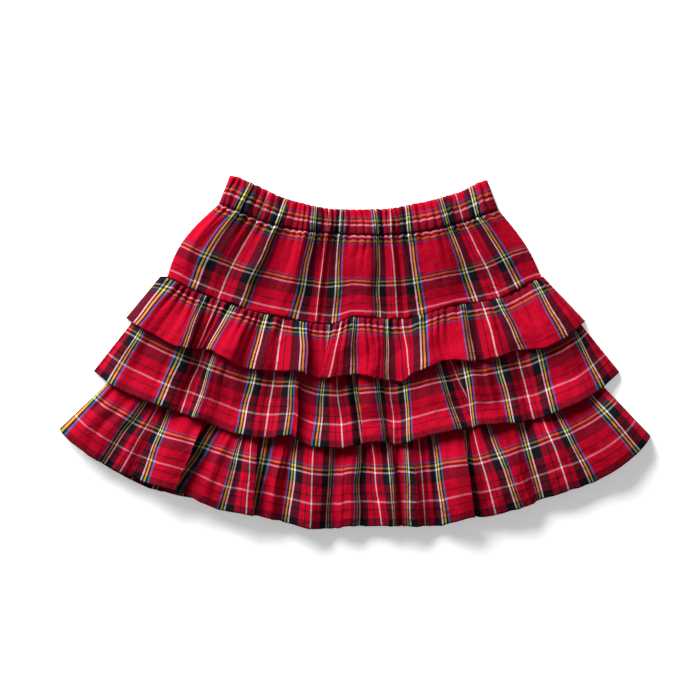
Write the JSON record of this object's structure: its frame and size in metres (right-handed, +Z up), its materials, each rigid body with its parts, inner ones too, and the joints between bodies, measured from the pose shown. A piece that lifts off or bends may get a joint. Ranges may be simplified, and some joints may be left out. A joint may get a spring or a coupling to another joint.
{
  "type": "tiered ruffle skirt",
  "caption": "Child's short tiered ruffle skirt in red check cotton with an elastic waistband, laid flat with its front up.",
  "frame": {"origin": "centre of the laid skirt's outline, on the surface it lies on", "axes": "+X to the wearer's left along the hem's width, +Y from hem to waist, +Z up out of the skirt's front"},
  "size_m": [0.531, 0.3167, 0.016],
  "materials": {
    "check_cotton": "light twill-woven cotton in a red, black, white, yellow and blue check, matt",
    "check_cotton_casing": "the same check cotton, double, gathered tightly over flat elastic"
  },
  "bodies": {
    "root": {"waistband_front": "check_cotton_casing", "waistband_back": "check_cotton_casing", "yoke_front": "check_cotton", "yoke_back": "check_cotton", "base_front": "check_cotton", "base_back": "check_cotton", "ruffle_1_front": "check_cotton", "ruffle_1_back": "check_cotton", "ruffle_2_front": "check_cotton", "ruffle_2_back": "check_cotton", "ruffle_3_front": "check_cotton", "ruffle_3_back": "check_cotton"}
  },
  "joints": []
}
